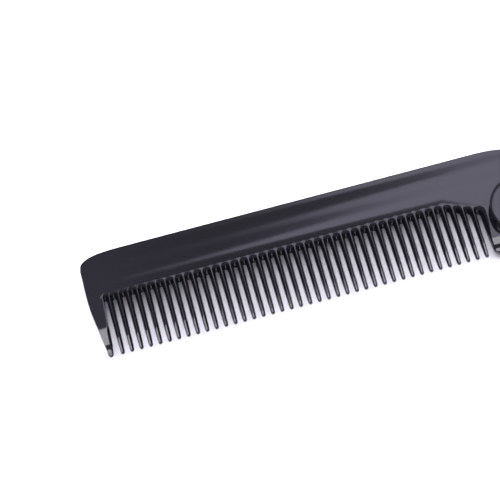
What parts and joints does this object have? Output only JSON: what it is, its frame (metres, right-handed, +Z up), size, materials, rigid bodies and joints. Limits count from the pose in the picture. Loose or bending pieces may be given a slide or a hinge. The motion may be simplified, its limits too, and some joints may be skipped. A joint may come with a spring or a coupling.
{
  "type": "folding comb",
  "caption": "Pocket folding comb: a fine-toothed straight blade with guard teeth swings on a rivet into a slotted round-ended handle.",
  "frame": {"origin": "centre of the open comb's bounding box, on the surface that it lies on", "axes": "+X from the blade's outer end to the handle's end, teeth pointing to -Y, +Z up through the thickness"},
  "size_m": [0.2156, 0.0264, 0.0093],
  "materials": {
    "comb_blade": "glossy black moulded plastic",
    "handle": "glossy black moulded plastic",
    "pivot_rivet": "glossy black moulded plastic"
  },
  "bodies": {
    "handle_body": {"handle": "handle", "pivot_rivet": "pivot_rivet"},
    "blade_body": {"comb_blade": "comb_blade"}
  },
  "joints": [
    {"name": "fold", "type": "hinge", "parent": "handle_body", "child": "blade_body", "pos_m": [-0.0016, -0.0039, 0.0041], "axis": [0, 0, 1], "range_deg": [0, 180]}
  ]
}
